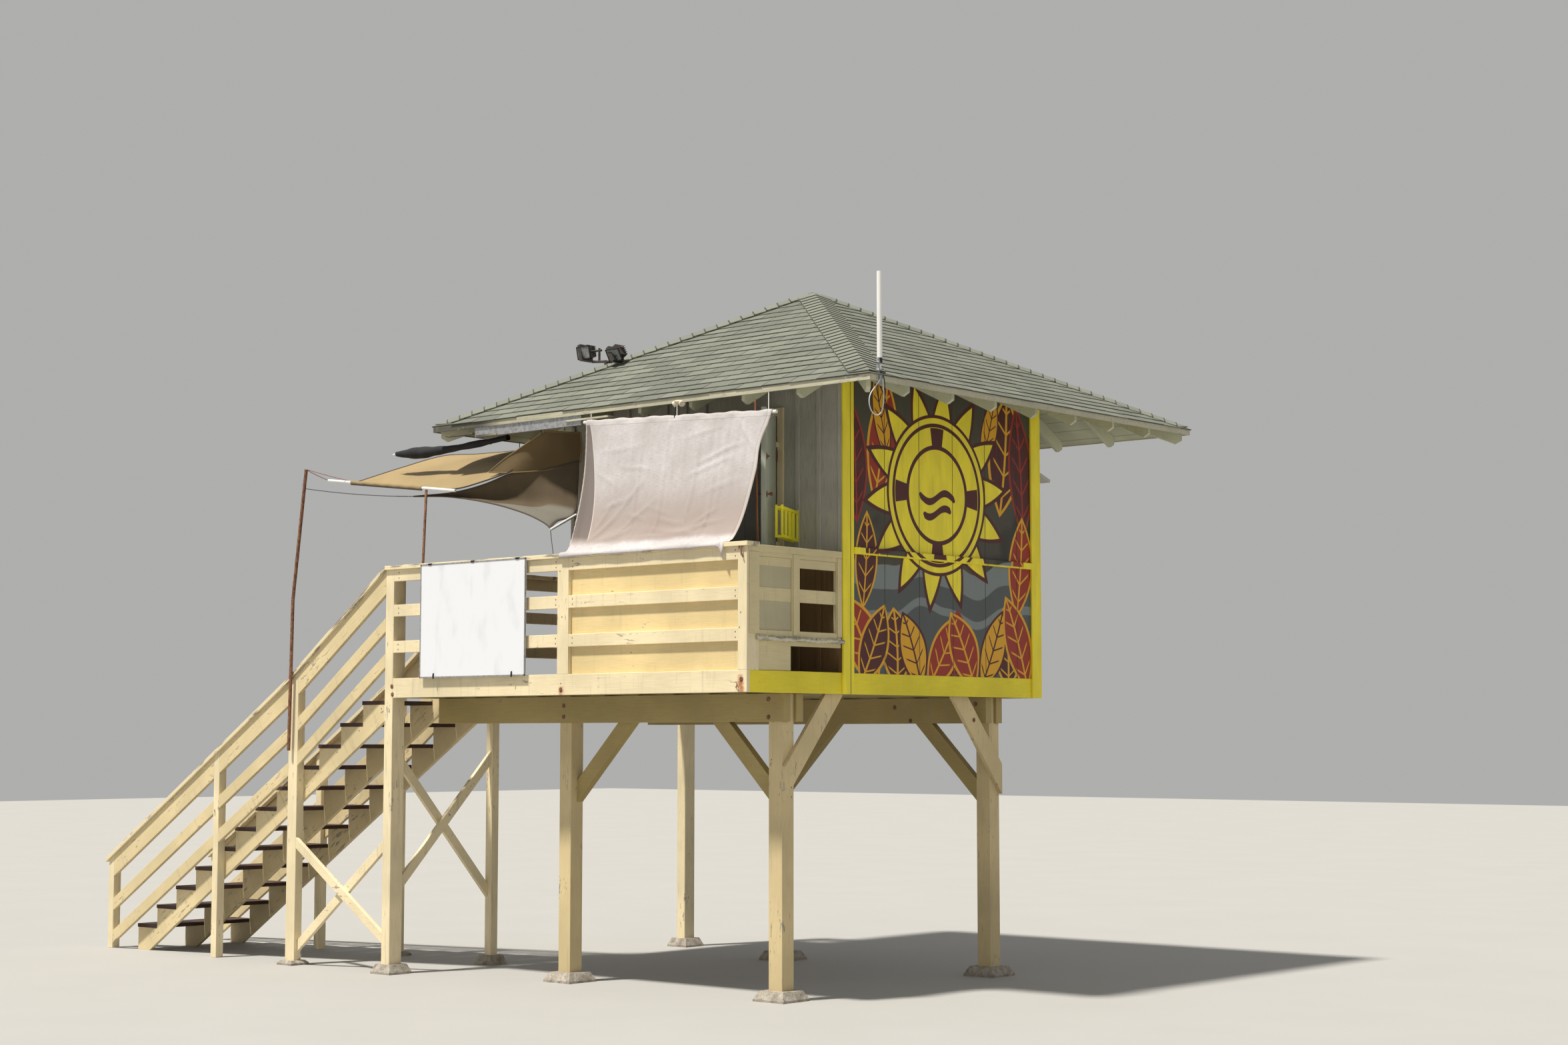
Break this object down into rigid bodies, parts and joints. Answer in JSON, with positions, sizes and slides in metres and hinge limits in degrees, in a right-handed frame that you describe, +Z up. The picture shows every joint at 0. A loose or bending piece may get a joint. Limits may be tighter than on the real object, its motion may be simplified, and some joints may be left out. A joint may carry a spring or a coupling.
{
  "type": "lifeguard tower",
  "caption": "Raised timber beach lookout cabin on posts, with a railed deck, an outside stair, a hip roof, a hinged plank door and cloth sun shades",
  "frame": {"origin": "middle of the tower's overall box, on the ground", "axes": "+X from the stair foot towards the painted side wall, +Y from the front rail towards the ocean wall, +Z up"},
  "size_m": [10.1, 5.375, 6.5],
  "materials": {
    "cream_paint": "weathered cream paint on sawn timber, chipped at the ends",
    "yellow_paint": "bright yellow house paint on timber, satin",
    "grey_paint": "pale grey house paint on board and batten",
    "eave_paint": "pale green cream paint on rafters and eave boards",
    "shingle": "grey green mineral shingles",
    "weathered_wood": "paint worn to bare grey wood",
    "brown_paint": "dark brown deck stain, worn by feet",
    "concrete": "rough cast concrete",
    "steel": "rusted steel",
    "zinc": "dull grey metal",
    "rope": "faded pink cord",
    "white_board": "smooth white face",
    "cloth_light": "woven pale shade cloth",
    "cloth_tan": "woven tan shade cloth",
    "cloth_brown": "woven brown shade cloth",
    "tarp": "dark coated tarpaulin"
  },
  "bodies": {
    "tower": {"footings": "concrete", "post_front_right": "cream_paint", "post_back_right": "cream_paint", "post_front_middle": "cream_paint", "post_back_middle": "cream_paint", "corner_posts": "cream_paint", "beam_front": "cream_paint", "beam_back": "cream_paint", "braces_across": "cream_paint", "braces_along": "cream_paint", "joists": "cream_paint", "rim_front": "cream_paint", "rim_right": "yellow_paint", "rim_back_left": "cream_paint", "floor": "weathered_wood", "wall_right": "yellow_paint", "wall_front_right": "grey_paint", "wall_front_left": "grey_paint", "wall_over_door": "grey_paint", "wall_left": "grey_paint", "wall_back": "grey_paint", "wall_trims": "yellow_paint", "wall_battens": "grey_paint", "door_frame": "cream_paint", "window_shutter": "grey_paint", "shutter_props": "zinc", "roof_front": "shingle", "roof_right": "shingle", "roof_back": "shingle", "roof_left": "shingle", "hip_caps": "shingle", "rafters": "eave_paint", "eave_edge": "eave_paint", "eave_channel": "zinc", "rail_posts": "cream_paint", "rail_cap": "weathered_wood", "rail_boards": "cream_paint", "infill_panels": "cream_paint", "side_frame": "cream_paint", "stringers": "cream_paint", "treads": "brown_paint", "stair_posts": "cream_paint", "handrails": "cream_paint", "stair_rails": "cream_paint", "cross_ties": "cream_paint", "notice_board": "white_board", "slatted_rack": "yellow_paint", "antenna": "white_board", "floodlights": "zinc", "shade_cloth": "cloth_light", "white_tubes": "white_board", "tan_sail": "cloth_tan", "brown_sail": "cloth_brown", "sail_poles": "steel", "rolled_tarp": "tarp", "tie_ropes": "rope"},
    "door": {"door_leaf": "grey_paint"}
  },
  "joints": [
    {"name": "door_hinge", "type": "hinge", "parent": "tower", "child": "door", "pos_m": [3.278, -1.4105, 3], "axis": [0, 0, 1], "range_deg": [-124, 0]}
  ]
}
